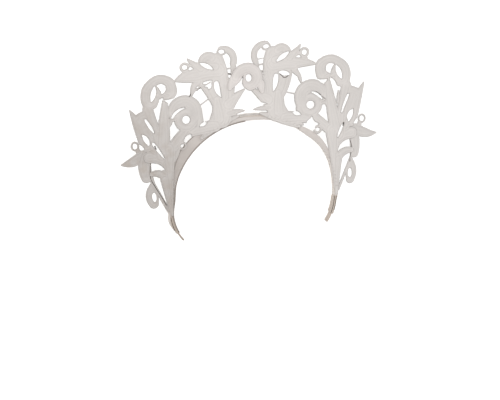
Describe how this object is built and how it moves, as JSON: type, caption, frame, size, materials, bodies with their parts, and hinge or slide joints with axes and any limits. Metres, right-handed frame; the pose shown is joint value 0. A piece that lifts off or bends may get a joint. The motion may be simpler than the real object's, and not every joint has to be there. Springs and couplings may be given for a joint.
{
  "type": "crown fascinator",
  "caption": "Scrolled guipure lace crown standing round the front edge of a padded cloth headband, open below for the wearer's head.",
  "frame": {"origin": "centre of the footprint on the table that the back edge of the band rests on, level with that edge", "axes": "+X across the crown to the viewer's right, +Y towards its top as worn, +Z towards its front"},
  "size_m": [0.25, 0.1854, 0.0161],
  "materials": {
    "band_cloth": "matte",
    "ribbon": "satin",
    "lace": "satin"
  },
  "bodies": {
    "root": {"headband": "band_cloth", "front_strip": "ribbon", "left_lace_panel": "lace", "right_lace_panel": "lace", "left_side_spray": "lace", "right_side_spray": "lace", "centre_scroll": "lace"}
  },
  "joints": []
}
